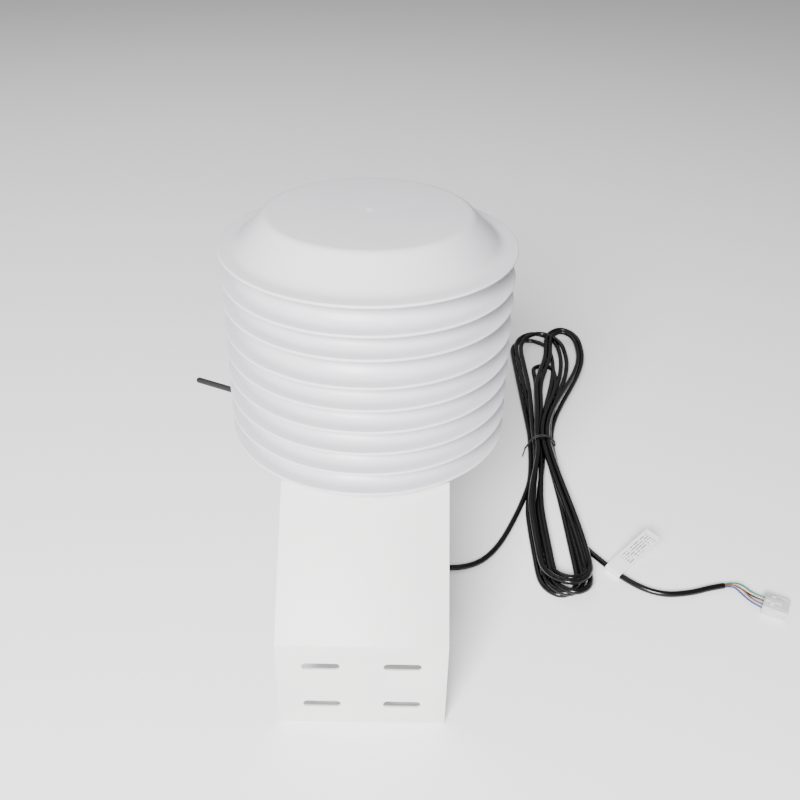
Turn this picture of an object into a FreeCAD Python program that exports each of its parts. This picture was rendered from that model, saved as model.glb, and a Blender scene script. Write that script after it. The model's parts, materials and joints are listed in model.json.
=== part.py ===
import FreeCAD, Part
import Sketcher
import math
import os

# Louvred radiation shield on a bent pole bracket, with its radio transmitter and signal cable.
# Frame: +Z up along the shield's axis, -Y towards the pole side, origin at the centre of the four
# slots on the outer face of the bracket's flange. Millimetres and degrees.

Vector = FreeCAD.Vector
doc = FreeCAD.newDocument("RadiationShield")
sheet = doc.addObject("Spreadsheet::Sheet", "Sizes")

driving = {
    # shield plates
    "cap_radius": 110, "cap_brim": 12.5, "cap_cone_run": 21.5, "cap_rise": 24,
    "louver_step": 0.5, "louver_brim": 11, "louver_cone_run": 20,
    "opening_clearance": 2, "plate_rise": 33, "plate_wall": 2, "cone_wall": 2.2,
    "lip_drop": 0.4, "rim_edge": 2.4, "lip_width": 2,
    "louver_pitch": 17.8, "wide_pitch": 21.5, "base_gap": 5,
    # tie rods and what is threaded on them
    "rod_land": 12, "rod_radius": 2.5, "rod_clearance": 0.25, "sleeve_radius": 5,
    "boss_radius": 6, "insert_radius": 3.5, "insert_depth": 7, "rod_grip": 8,
    "washer_thick": 1, "nut_height": 4, "nut_radius": 4.62, "rod_tail": 2,
    # bracket
    "bracket_width": 126, "sheet_thick": 2, "flange_below": 40, "flange_above": 40,
    "web_run": 85, "web_rise": 85, "shelf_depth": 161, "bend_radius": 2,
    "slot_spacing": 60, "slot_rows": 40, "slot_length": 28, "slot_width": 6.5,
    "shield_reach": 170, "neck_clearance": 2,
    # transmitter
    "carrier_margin": 10, "carrier_thick": 3, "case_radius": 38, "case_wall": 3,
    "case_height": 132, "case_drop": 25, "case_flange_width": 10, "case_fit": 0.5,
    "lid_flange_width": 6, "lid_thick": 5, "seal_thick": 1, "top_flange_thick": 4,
    "case_screw_inset": 6, "lid_screw_inset": 3, "screw_radius": 1.5,
    "head_radius": 2.75, "head_height": 2,
    "board_margin": 5, "board_height": 100, "board_thick": 1.6, "board_offset": 8,
    "board_foot": 25, "rail_depth": 1.5, "rail_width": 6, "rail_thick": 4,
    "probe_radius": 8, "probe_height": 30, "filter_radius": 7, "filter_height": 24,
    "probe_nut_radius": 13, "probe_nut_height": 5,
    # antenna
    "antenna_angle": 26, "antenna_drop": 10.5, "whip_radius": 2.6, "whip_end": 176,
    "flat_inset": 1.2, "socket_inside": 7.8, "socket_outside": 8.2, "socket_radius": 3.15,
    "socket_boss_radius": 6.5, "socket_nut_thick": 2.2, "coupling_radius": 4.6,
    "coupling_gap": 0.3, "coupling_length": 11.7, "coupling_clearance": 0.05,
    # cable, gland and plug
    "cord_diameter": 5.5, "gland_offset": 14, "gland_radius": 6.2, "gland_hex_radius": 9,
    "gland_flange": 4, "gland_dome": 14, "gland_lock": 4, "cord_inside": 36,
    "hank_thick": 12, "tie_width": 2, "tie_thick": 1, "core_diameter": 1.5,
    "label_width": 17, "label_length": 54, "label_thick": 0.4,
    "label_tilt": 21,
    "plug_length": 21, "plug_width": 20, "plug_height": 9, "contact_size": 2,
    "contact_pitch": 5, "latch_width": 6.4, "latch_length": 14, "latch_thick": 1.2,
    "latch_lift": 1, "latch_pin_reach": 7, "latch_pin_radius": 0.8, "latch_pin_clearance": 0.05,
    "latch_side_gap": 0.3, "ear_thick": 1.5,
}
for row, (alias, number) in enumerate(driving.items(), 1):
    sheet.set(f"A{row}", alias)
    sheet.set(f"B{row}", str(number))
    sheet.setAlias(f"B{row}", alias)
doc.recompute()


class Dim:
    # A number together with the spreadsheet expression that gives it

    def __init__(self, value, text):
        self.value = value
        self.text = text

    def __add__(self, other):
        other = asDim(other)
        return Dim(self.value + other.value, f"({self.text} + {other.text})")

    def __sub__(self, other):
        other = asDim(other)
        return Dim(self.value - other.value, f"({self.text} - {other.text})")

    def __mul__(self, other):
        other = asDim(other)
        return Dim(self.value * other.value, f"({self.text} * {other.text})")

    def __truediv__(self, other):
        other = asDim(other)
        return Dim(self.value / other.value, f"({self.text} / {other.text})")

    def __rsub__(self, other):
        return asDim(other) - self

    def __neg__(self):
        return Dim(-self.value, f"(-{self.text})")

    __radd__ = __add__
    __rmul__ = __mul__


def asDim(value):
    if isinstance(value, Dim):
        return value
    return Dim(float(value), f"({float(value):.6f})")


def cell(alias):
    return Dim(float(sheet.get(alias)), f"Sizes.{alias}")


def root(length):
    return Dim(math.sqrt(length.value), f"sqrt({length.text})")


nodes = {}


def keep(label, item):
    # Registers an object of the document as the node of that name
    item.Label = label
    nodes[label] = item
    return item


def bind(item, **lengths):
    for name, length in lengths.items():
        item.setExpression(name, asDim(length).text)
    return item


def place(item, x=0, y=0, z=0, rotation=None):
    x, y, z = asDim(x), asDim(y), asDim(z)
    base = Vector(x.value, y.value, z.value)
    item.Placement = FreeCAD.Placement(base, rotation or FreeCAD.Rotation())
    for axis, length in zip("xyz", (x, y, z)):
        item.setExpression(f"Placement.Base.{axis}", length.text)
    return item


def cylinder(radius, height, x=0, y=0, z=0, rotation=None):
    item = bind(doc.addObject("Part::Cylinder", "Round"), Radius=radius, Height=height)
    return place(item, x, y, z, rotation)


def box(length, width, height, x=0, y=0, z=0, rotation=None):
    item = bind(doc.addObject("Part::Box", "Block"), Length=length, Width=width, Height=height)
    return place(item, x, y, z, rotation)


def hexagon(radius, height, x=0, y=0, z=0, rotation=None):
    item = bind(doc.addObject("Part::Prism", "Hex"), Circumradius=radius, Height=height)
    item.Polygon = 6
    return place(item, x, y, z, rotation)


def joined(*items):
    item = doc.addObject("Part::MultiFuse", "Joined")
    item.Shapes = list(items)
    return item


def cut(base, *tools):
    item = doc.addObject("Part::Cut", "Cut")
    item.Base = base
    item.Tool = tools[0] if len(tools) == 1 else joined(*tools)
    return item


def profileSketch(body, role, corners):
    # Closed outline on one of the body's own origin planes, each corner held by two dimensions
    sketch = body.newObject("Sketcher::SketchObject", "Profile")
    support = [plane for plane in body.Origin.OriginFeatures if plane.Role == role][0]
    sketch.AttachmentSupport = [(support, "")]
    sketch.MapMode = "FlatFace"
    corners = [(asDim(x), asDim(y)) for x, y in corners]
    points = [Vector(x.value, y.value, 0) for x, y in corners]
    for start, end in zip(points, points[1:] + points[:1]):
        sketch.addGeometry(Part.LineSegment(start, end), False)
    count = len(points)
    for index in range(count):
        sketch.addConstraint(Sketcher.Constraint("Coincident", index, 2, (index + 1) % count, 1))
    for index, (x, y) in enumerate(corners):
        for kind, length in (("DistanceX", x), ("DistanceY", y)):
            number = sketch.addConstraint(Sketcher.Constraint(kind, -1, 1, index, 1, length.value))
            sketch.setExpression(f"Constraints[{number}]", length.text)
    return sketch


def turned(label, corners, x=0, y=0, z=0, rotation=None):
    # Body of revolution about its own Z axis, from corners given as (radius, height)
    body = doc.addObject("PartDesign::Body", label)
    sketch = profileSketch(body, "XZ_Plane", corners)
    turn = body.newObject("PartDesign::Revolution", "Turn")
    turn.Profile = sketch
    turn.ReferenceAxis = (sketch, ["V_Axis"])
    turn.Angle = 360
    return place(body, x, y, z, rotation)


def ring(outer, inner, height, x=0, y=0, z=0, rotation=None):
    corners = [(inner, 0), (outer, 0), (outer, height), (inner, height)]
    return turned("Ring", corners, x, y, z, rotation)


def onCircle(radius, degrees):
    # Offsets from the shield's axis to a place on a circle about it
    angle = math.radians(degrees)
    return radius * math.cos(angle), shieldY + radius * math.sin(angle)


def axisTurn(direction):
    return FreeCAD.Rotation(Vector(0, 0, 1), direction)


# Levels and places that several pieces share
wall = cell("plate_wall")
shieldY = cell("shield_reach")
shelfTop = cell("flange_above") + cell("web_rise")
shelfUnder = shelfTop - cell("sheet_thick")
edgeLow = cell("rim_edge") / 2
lastRim = shelfTop + cell("base_gap") + edgeLow
pitches = [cell("wide_pitch"), cell("louver_pitch"), cell("wide_pitch")] + [cell("louver_pitch")] * 5
rims = [lastRim]
for pitch in reversed(pitches):
    rims.insert(0, rims[0] + pitch)
capRim = rims[0]
rise = cell("plate_rise")
rodHole = cell("rod_radius") + cell("rod_clearance")
carrierTop = lastRim + rise - wall
carrierUnder = carrierTop - cell("carrier_thick")
caseFloor = shelfTop - cell("case_drop")
caseTop = caseFloor + cell("case_height")
lidUnder = caseTop + cell("seal_thick")
lidTop = lidUnder + cell("lid_thick")
floorZ = -cell("flange_below")
caseFlange = cell("case_radius") + cell("case_flange_width")
lidRadius = cell("case_radius") + cell("lid_flange_width")
louverOpening = caseFlange + cell("opening_clearance")
caseScrewCircle = cell("case_radius") + cell("case_screw_inset")
lidScrewCircle = cell("case_radius") + cell("lid_screw_inset")
rodCircle = louverOpening + cell("rod_land")
rodPlaces = [onCircle(rodCircle, angle) for angle in (90, 210, 330)]


def coneInside(foot, disc, top, height):
    # Inner radius of a plate's cone at a height above its rim plane
    slope = (foot - disc) / (top - edgeLow)
    return foot - (height - edgeLow) * slope - cell("cone_wall")


def hatProfile(rim, foot, disc, top, opening):
    # Section of a hat-shaped plate: flat disc, cone, brim and a small lip under the rim
    brimUnder = cell("lip_drop") - edgeLow
    return [
        (rim, -edgeLow), (rim, edgeLow), (foot, edgeLow), (disc, top),
        (opening, top), (opening, top - wall),
        (coneInside(foot, disc, top, top - wall), top - wall),
        (coneInside(foot, disc, top, brimUnder), brimUnder),
        (rim - cell("lip_width"), brimUnder), (rim - cell("lip_width"), -edgeLow),
    ]


def makeCap():
    rim = cell("cap_radius")
    foot = rim - cell("cap_brim")
    disc = foot - cell("cap_cone_run")
    top = cell("cap_rise")
    hat = turned("CapShell", hatProfile(rim, foot, disc, top, 0), 0, shieldY, capRim)
    bossLow = rims[1] + rise
    bossTall = capRim + top - wall / 2 - bossLow
    bosses = [cylinder(cell("boss_radius"), bossTall, x, y, bossLow) for x, y in rodPlaces]
    pockets = [cylinder(cell("insert_radius"), cell("insert_depth"), x, y, bossLow)
               for x, y in rodPlaces]
    pockets += [cylinder(rodHole, cell("rod_grip") + 1, x, y, bossLow) for x, y in rodPlaces]
    keep("cap", cut(joined(hat, *bosses), *pockets))
    inserts = [ring(cell("insert_radius"), cell("rod_radius"), cell("insert_depth"), x, y, bossLow)
               for x, y in rodPlaces]
    keep("cap_inserts", joined(*inserts))


def makeLouvers():
    rim = cell("cap_radius") - cell("louver_step")
    foot = rim - cell("louver_brim")
    disc = foot - cell("louver_cone_run")
    for number, level in enumerate(rims[1:], 1):
        hat = turned("Louver", hatProfile(rim, foot, disc, rise, louverOpening), 0, shieldY, level)
        holes = [cylinder(rodHole, wall * 2, x, y, level + rise - wall * 1.5)
                 for x, y in rodPlaces]
        keep(f"louver_plate_{number}", cut(hat, *holes))


def makeRods():
    washer, nut = cell("washer_thick"), cell("nut_height")
    low = shelfUnder - washer - nut - cell("rod_tail")
    high = rims[1] + rise + cell("rod_grip")
    sleeves = []
    for upper, lower in zip(rims[1:], rims[2:]):
        start = lower + rise
        for x, y in rodPlaces:
            sleeves.append(ring(cell("sleeve_radius"), rodHole, upper - wall - lower, x, y, start))
    keep("spacer_sleeves", joined(*sleeves))
    keep("tie_rods", joined(*[cylinder(cell("rod_radius"), high - low, x, y, low)
                              for x, y in rodPlaces]))
    keep("base_sleeves", joined(*[ring(cell("sleeve_radius"), rodHole, carrierUnder - shelfTop,
                                       x, y, shelfTop) for x, y in rodPlaces]))
    keep("rod_washers", joined(*[ring(cell("sleeve_radius"), rodHole, washer,
                                      x, y, shelfUnder - washer) for x, y in rodPlaces]))
    nuts = [cut(hexagon(cell("nut_radius"), nut, x, y, shelfUnder - washer - nut),
                cylinder(cell("rod_radius"), nut, x, y, shelfUnder - washer - nut))
            for x, y in rodPlaces]
    keep("rod_nuts", joined(*nuts))


def slotCutter(x, z):
    # One horizontal slot through the flange, with round ends
    sheetThick, radius = cell("sheet_thick"), cell("slot_width") / 2
    straight = cell("slot_length") - cell("slot_width")
    across = FreeCAD.Rotation(Vector(1, 0, 0), -90)
    middle = box(straight, sheetThick * 3, radius * 2, x - straight / 2, -sheetThick, z - radius)
    ends = [cylinder(radius, sheetThick * 3, x + straight / 2 * side, -sheetThick, z, across)
            for side in (-1, 1)]
    return joined(middle, *ends)


def makeBracket():
    thick, above = cell("sheet_thick"), cell("flange_above")
    run, climb = cell("web_run"), cell("web_rise")
    slope = climb / run
    drop = thick * root(slope * slope + 1)
    back = run + cell("shelf_depth")
    side = [
        (0, floorZ), (0, above), (run, shelfTop), (back, shelfTop), (back, shelfUnder),
        ((shelfUnder - above + drop) / slope, shelfUnder), (thick, above - drop + thick * slope),
        (thick, floorZ),
    ]
    body = doc.addObject("PartDesign::Body", "BentSheet")
    sketch = profileSketch(body, "YZ_Plane", side)
    pad = body.newObject("PartDesign::Pad", "Width")
    pad.Profile = sketch
    pad.SideType = "Symmetric"
    bind(pad, Length=cell("bracket_width"))
    doc.recompute()
    bend = cell("bend_radius")
    for radius, places in ((bend + thick, (side[1], side[2])), (bend, (side[6], side[5]))):
        base = body.Tip
        fillet = body.newObject("PartDesign::Fillet", "Bend")
        fillet.Base = (base, edgesAcross(base.Shape, places))
        bind(fillet, Radius=radius)
        doc.recompute()
    slots = [slotCutter(cell("slot_spacing") / 2 * sideX, cell("slot_rows") / 2 * sideZ)
             for sideX in (-1, 1) for sideZ in (-1, 1)]
    holes = [cylinder(rodHole, thick * 3, x, y, shelfUnder - thick) for x, y in rodPlaces]
    neckHole = cell("case_radius") + cell("neck_clearance")
    holes.append(cylinder(neckHole, thick * 3, 0, shieldY, shelfUnder - thick))
    keep("bracket", cut(body, *slots, *holes))


def edgesAcross(shape, places):
    # Names of the straight edges along X that pass through the given (y, z) places
    names = []
    for number, edge in enumerate(shape.Edges, 1):
        start, end = edge.Vertexes[0].Point, edge.Vertexes[-1].Point
        for y, z in places:
            spot = Vector(0, asDim(y).value, asDim(z).value)
            near = edge.distToShape(Part.Vertex(spot))[0] < 0.01
            if near and abs(start.x - end.x) > 1 and abs(start.y - end.y) < 0.01:
                names.append(f"Edge{number}")
    return names


def screws(circle, degrees, headUnder, length):
    # Cheese-head screws pointing down from the level of their heads' undersides
    made = []
    for angle in degrees:
        x, y = onCircle(circle, angle)
        head = cylinder(cell("head_radius"), cell("head_height"), x, y, headUnder)
        shank = cylinder(cell("screw_radius"), length, x, y, headUnder - length)
        made.append(joined(head, shank))
    return joined(*made)


def screwHoles(circle, degrees, low, height):
    return [cylinder(cell("screw_radius"), height, *onCircle(circle, angle), low)
            for angle in degrees]


caseScrewAngles = (45, 135, 225, 315)
lidScrewAngles = (0, 90, 180, 270)
antennaAngle = 180 - driving["antenna_angle"]
antennaLine = Vector(math.cos(math.radians(antennaAngle)), math.sin(math.radians(antennaAngle)), 0)
antennaZ = shelfTop - cell("antenna_drop")
flatReach = cell("case_radius") - cell("flat_inset")
socketStart = flatReach - cell("socket_inside")
socketEnd = flatReach + cell("socket_outside")
couplingStart = flatReach + cell("socket_nut_thick") + cell("coupling_gap")
couplingEnd = couplingStart + cell("coupling_length")


def alongAntenna(reach):
    # A place on the antenna's line, at a distance from the shield's axis
    x, y = onCircle(asDim(reach), antennaAngle)
    return x, y, antennaZ


def makeCase():
    radius, thick = cell("case_radius"), cell("case_wall")
    flangeLow = carrierTop - caseFloor
    flangeTop = flangeLow + thick
    tall = cell("case_height")
    topLow = tall - cell("top_flange_thick")
    corners = [
        (0, 0), (radius, 0), (radius, flangeLow), (caseFlange, flangeLow), (caseFlange, flangeTop),
        (radius, flangeTop), (radius, topLow), (lidRadius, topLow), (lidRadius, tall),
        (radius - thick, tall), (radius - thick, thick), (0, thick),
    ]
    cup = turned("CaseCup", corners, 0, shieldY, caseFloor)
    outward = axisTurn(antennaLine)
    bossIn = socketStart + 2
    boss = cylinder(cell("socket_boss_radius"), flatReach - bossIn, *alongAntenna(bossIn), outward)
    side = cell("socket_boss_radius") * 2.2
    facing = FreeCAD.Rotation(Vector(0, 0, 1), antennaAngle)
    across = Vector(-antennaLine.y, antennaLine.x, 0)
    x, y, z = alongAntenna(flatReach)
    flat = box(10, side, side, x - side / 2 * across.x, y - side / 2 * across.y, z - side / 2, facing)
    bore = cylinder(cell("socket_radius"), 12, *alongAntenna(bossIn - 2), outward)
    glandHole = cylinder(cell("gland_radius"), thick * 3, cell("gland_offset"), shieldY,
                         caseFloor - thick)
    holes = screwHoles(caseScrewCircle, caseScrewAngles, carrierTop - 1, thick + 2)
    holes += screwHoles(lidScrewCircle, lidScrewAngles,
                        caseTop - cell("top_flange_thick") - 1, cell("top_flange_thick") + 2)
    keep("transmitter_case", cut(joined(cup, boss), flat, bore, glandHole, *holes))


def makeCaseFittings():
    thick = cell("case_wall")
    carrier = cylinder(rodCircle + cell("carrier_margin"), cell("carrier_thick"), 0, shieldY,
                       carrierUnder)
    opening = cylinder(cell("case_radius") + cell("case_fit"), cell("carrier_thick") * 3,
                       0, shieldY, carrierUnder - cell("carrier_thick"))
    rodHoles = [cylinder(rodHole, cell("carrier_thick") * 3, x, y,
                         carrierUnder - cell("carrier_thick")) for x, y in rodPlaces]
    taps = screwHoles(caseScrewCircle, caseScrewAngles, carrierUnder - 1,
                      cell("carrier_thick") + 2)
    keep("carrier_plate", cut(carrier, opening, *rodHoles, *taps))
    keep("case_screws", screws(caseScrewCircle, caseScrewAngles, carrierTop + thick,
                               thick + cell("carrier_thick")))
    lid = cylinder(lidRadius, cell("lid_thick"), 0, shieldY, lidUnder)
    throat = cylinder(cell("probe_radius"), cell("lid_thick") * 3, 0, shieldY,
                      lidUnder - cell("lid_thick"))
    holes = screwHoles(lidScrewCircle, lidScrewAngles, lidUnder - 1,
                       cell("lid_thick") + 2)
    keep("case_lid", cut(lid, throat, *holes))
    keep("lid_seal", ring(cell("case_radius"), cell("case_radius") - thick, cell("seal_thick"),
                          0, shieldY, caseTop))
    keep("lid_screws", screws(lidScrewCircle, lidScrewAngles, lidTop,
                              cell("lid_thick") + cell("seal_thick") + cell("top_flange_thick")))


def makeProbe():
    radius, tall = cell("probe_radius"), cell("probe_height")
    low = lidUnder - 2
    bore = cell("filter_radius") - 1
    keep("probe_tube", turned("ProbeTube", [(bore, 0), (radius, 0), (radius, tall), (bore, tall)],
                              0, shieldY, low))
    keep("probe_nut", cut(hexagon(cell("probe_nut_radius"), cell("probe_nut_height"),
                                  0, shieldY, lidTop),
                          cylinder(radius, cell("probe_nut_height"), 0, shieldY, lidTop)))
    high = cell("filter_height")
    inner = cell("filter_radius") - 1.5
    corners = [(inner, 0), (cell("filter_radius"), 0), (cell("filter_radius"), high - 3),
               (cell("filter_radius") - 3, high), (0, high), (0, high - 1.5),
               (inner - 1, high - 1.5), (inner, high - 3)]
    keep("probe_filter", turned("ProbeFilter", corners, 0, shieldY, low + tall))
    fit = bore * 2 - 0.1
    stem = joined(box(fit, 1.2, tall, -fit / 2, shieldY - 0.6, low),
                  box(8, 1.2, 14, -4, shieldY - 0.6, low + tall))
    chip = box(2.5, 1, 2.5, -1.25, shieldY - 1.6, low + tall + 8)
    keep("probe_sensor", joined(stem, chip))


def spot(x, y, z):
    return Vector(asDim(x).value, asDim(y).value, asDim(z).value)


def makeElectronics():
    tall, thick = cell("board_height"), cell("board_thick")
    wide = (cell("case_radius") - cell("case_wall") - cell("board_margin")) * 2
    front = shieldY + cell("board_offset")
    foot = caseFloor + cell("board_foot")
    board = keep("main_board", box(wide, thick, tall, -wide / 2, front, foot))
    railFloor = foot - 2
    railY = front + thick / 2 - cell("rail_width") / 2
    reach, deep = wide / 2 - cell("rail_depth"), cell("rail_thick") * 2
    rails = joined(*[box(deep, cell("rail_width"), tall + 2, x, railY, railFloor)
                     for x in (reach, -reach - deep)])
    hollow = cylinder(cell("case_radius") - cell("case_wall"), tall * 2, 0, shieldY, caseFloor)
    inside = doc.addObject("Part::Common", "Inside")
    inside.Base = rails
    inside.Tool = hollow
    keep("board_rails", cut(inside, board))
    keep("radio_module", box(16, 3, 24, -24, front - 3, foot + 65))
    chips = [box(12, 1.6, 12, 2, front - 1.6, foot + 58), box(6, 1.4, 8, 4, front - 1.4, foot + 38),
             box(9, 8, 9, -27, front - 8, foot + 36), box(5, 5, 8, 18, front - 5, foot + 80)]
    keep("board_chips", joined(*chips))
    keep("terminal_block", box(24, 11, 11, 2, front - 11, foot + 2))
    module = spot(-16, front - 1.5, foot + 65)
    route = [spot(*alongAntenna(socketStart)), spot(*alongAntenna(socketStart - 12)),
             module + Vector(4, -4, -68), module + Vector(5, -6, -42), module + Vector(1, -2, -18),
             module]
    keep("antenna_coax", cordTube("antenna_coax", route, 1.4))


def makeAntenna():
    outward = axisTurn(antennaLine)
    start, end, radius = socketStart, socketEnd, cell("socket_radius")
    thread = cylinder(radius, end - start, *alongAntenna(start), outward)
    flange = hexagon(cell("nut_radius"), 2, *alongAntenna(start), outward)
    keep("antenna_socket", joined(thread, flange))
    nutThick = cell("socket_nut_thick")
    nut = hexagon(cell("nut_radius"), nutThick, *alongAntenna(flatReach), outward)
    keep("socket_nut", cut(nut, cylinder(radius, nutThick, *alongAntenna(flatReach), outward)))
    grip = cell("coupling_length")
    bore, deep = radius + cell("coupling_clearance"), end + 1 - couplingStart
    corners = [(bore, 0), (cell("coupling_radius"), 0), (cell("coupling_radius"), grip), (0, grip),
               (0, deep), (bore, deep)]
    keep("antenna_coupling", turned("Coupling", corners, *alongAntenna(couplingStart), outward))
    slim = cell("whip_radius")
    span = cell("whip_end") - couplingEnd - slim
    neck = bind(doc.addObject("Part::Cone", "Neck"), Radius1=slim + 1.4, Radius2=slim, Height=8)
    place(neck, *alongAntenna(couplingEnd), outward)
    rod = cylinder(slim, span, *alongAntenna(couplingEnd), outward)
    tip = bind(doc.addObject("Part::Sphere", "Tip"), Radius=slim)
    place(tip, *alongAntenna(couplingEnd + span))
    keep("antenna_whip", joined(neck, rod, tip))


glandX = cell("gland_offset")
cordRadius = cell("cord_diameter") / 2


def makeGland():
    radius, hexRadius, thick = cell("gland_radius"), cell("gland_hex_radius"), cell("case_wall")
    flange, lock, dome = cell("gland_flange"), cell("gland_lock"), cell("gland_dome")
    bore = cordRadius
    top = caseFloor + thick + lock + 1
    neckLow = caseFloor - flange - dome + 4
    spine = cylinder(radius, top - neckLow, glandX, shieldY, neckLow)
    collar = hexagon(hexRadius, flange, glandX, shieldY, caseFloor - flange)
    seat = cylinder(bore + 1.5, 8, glandX, shieldY, neckLow)
    through = cylinder(bore, cell("cord_inside") + 10, glandX, shieldY, neckLow - 5)
    keep("gland_body", cut(joined(spine, collar), seat, through))
    keep("gland_seal", ring(bore + 1.5, bore, 8, glandX, shieldY, neckLow))
    nut = hexagon(hexRadius, lock, glandX, shieldY, caseFloor + thick)
    keep("gland_locknut", cut(nut, cylinder(radius, lock, glandX, shieldY, caseFloor + thick)))
    corners = [(bore, 0), (bore + 1.6, 0), (hexRadius - 1, 3), (hexRadius - 1, dome),
               (radius, dome), (radius, 4), (bore, 4)]
    keep("gland_dome_nut", turned("DomeNut", corners, glandX, shieldY, caseFloor - flange - dome))
    mouth = caseFloor - flange - dome
    length = cell("cord_inside")
    keep("cable_entry", cylinder(bore, length, glandX, shieldY, mouth))
    coreRadius = cell("core_diameter") / 2
    spread = coreRadius + 0.15
    coreTall = caseFloor + cell("board_foot") + 2 - mouth - length
    cores = [cylinder(coreRadius, coreTall, glandX + spread * sideX, shieldY + spread * sideY,
                      mouth + length) for sideX in (-1, 1) for sideY in (-1, 1)]
    keep("inner_cores", joined(*cores))


def roundedPath(label, points):
    # Straight runs joined by tangent arcs, each as large as 0.45 of its shorter run allows
    edges, radii, start = [], [], points[0]
    for before, corner, after in zip(points, points[1:], points[2:]):
        inward, outward = before - corner, after - corner
        shorter = min(inward.Length, outward.Length)
        inward.normalize()
        outward.normalize()
        setback = 0.45 * shorter
        half = (math.pi - inward.getAngle(outward)) / 2
        radius = setback / math.tan(half)
        first, last = corner + inward * setback, corner + outward * setback
        middle = (inward + outward).normalize()
        crown = corner + middle * (radius / math.cos(half) - radius)
        edges.append(Part.LineSegment(start, first).toShape())
        edges.append(Part.Arc(first, crown, last).toShape())
        radii.append(round(radius, 1))
        start = last
    edges.append(Part.LineSegment(start, points[-1]).toShape())
    print(label, "arc radii", radii)
    return Part.Wire(edges)


def cordTube(label, points, diameter):
    path = roundedPath(label, points)
    section = Part.Wire(Part.makeCircle(diameter / 2, points[0], points[1] - points[0]))
    solid = path.makePipeShell([section], True, False)
    expected = math.pi * diameter ** 2 / 4 * path.Length
    print(label, "length", round(path.Length, 1), "volume ratio", round(solid.Volume / expected, 4))
    item = doc.addObject("Part::Feature", label)
    item.Shape = solid
    return item


# Cable route, chosen by hand: it drops from the gland, lies on the floor level and runs into the
# hank, then leaves the hank for the plug.
cordZ = driving["cord_diameter"] / 2 - driving["flange_below"]
labelZ = cordZ + driving["label_thick"] + 0.1
mouthZ = (caseFloor - cell("gland_flange") - cell("gland_dome")).value
leadRoute = [
    (14, 170, mouthZ), (14, 170, 48), (19, 172, 6), (36, 171.5, -27), (66, 168.5, cordZ),
    (98, 173, cordZ), (121, 198, cordZ), (142, 243, cordZ), (157, 282, cordZ), (166, 312, cordZ),
]
tailRoute = [
    (201, 207, cordZ), (214.5, 183.5, labelZ), (237, 153, labelZ), (262, 138.5, cordZ),
    (290, 142, cordZ), (309, 149, cordZ), (322, 152, cordZ),
]
hankOutline = [
    (172, 372), (173, 417), (170, 461), (169, 495), (174, 545), (180, 585), (189, 610), (206, 631),
    (229, 639), (254, 648), (267, 638), (271, 608), (267, 570), (251, 515), (231, 462), (213, 418),
    (200, 380), (193, 348), (190, 311), (194, 265), (201, 215), (206, 185), (204, 158), (198, 138),
    (182, 132), (164, 134), (152, 163), (149, 205), (154, 252), (162, 295), (168, 335),
]


def makeHank():
    outline = Part.BSplineCurve()
    outline.interpolate([Vector(x, y, floorZ.value) for x, y in hankOutline], PeriodicFlag=True)
    face = Part.Face(Part.Wire(outline.toShape()))
    item = doc.addObject("Part::Feature", "Hank")
    item.Shape = face.extrude(Vector(0, 0, cell("hank_thick").value))
    keep("cord_hank", item)
    reach, thick, width = 14.5, cell("tie_thick"), cell("tie_width")
    waist = Vector(184.5, 368, floorZ.value)
    outer = box(reach * 2, width, cell("hank_thick") + thick, waist.x - reach, waist.y, floorZ)
    inner = box(reach * 2 - thick * 2, width * 3, cell("hank_thick"), waist.x - reach + thick,
                waist.y - width, floorZ)
    tail = box(1.2, 20, 1.2, waist.x - reach - 1.2, waist.y + width - 20, floorZ + 3)
    keep("twist_tie", cut(joined(outer, tail), inner))


plugBack = Vector(350, 129.5, floorZ.value)
plugTurn = FreeCAD.Rotation(Vector(0, 0, 1), -28)


def onPlug(x, y, z):
    # A place on the plug: x towards its mating face, y across, z up from the floor
    x, y, z = asDim(x), asDim(y), asDim(z)
    along, across = plugTurn.multVec(Vector(1, 0, 0)), plugTurn.multVec(Vector(0, 1, 0))
    return (x * along.x + y * across.x + plugBack.x, x * along.y + y * across.y + plugBack.y,
            z + floorZ)


def plugBox(length, width, height, x, y, z):
    return box(length, width, height, *onPlug(x, y, z), plugTurn)


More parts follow.
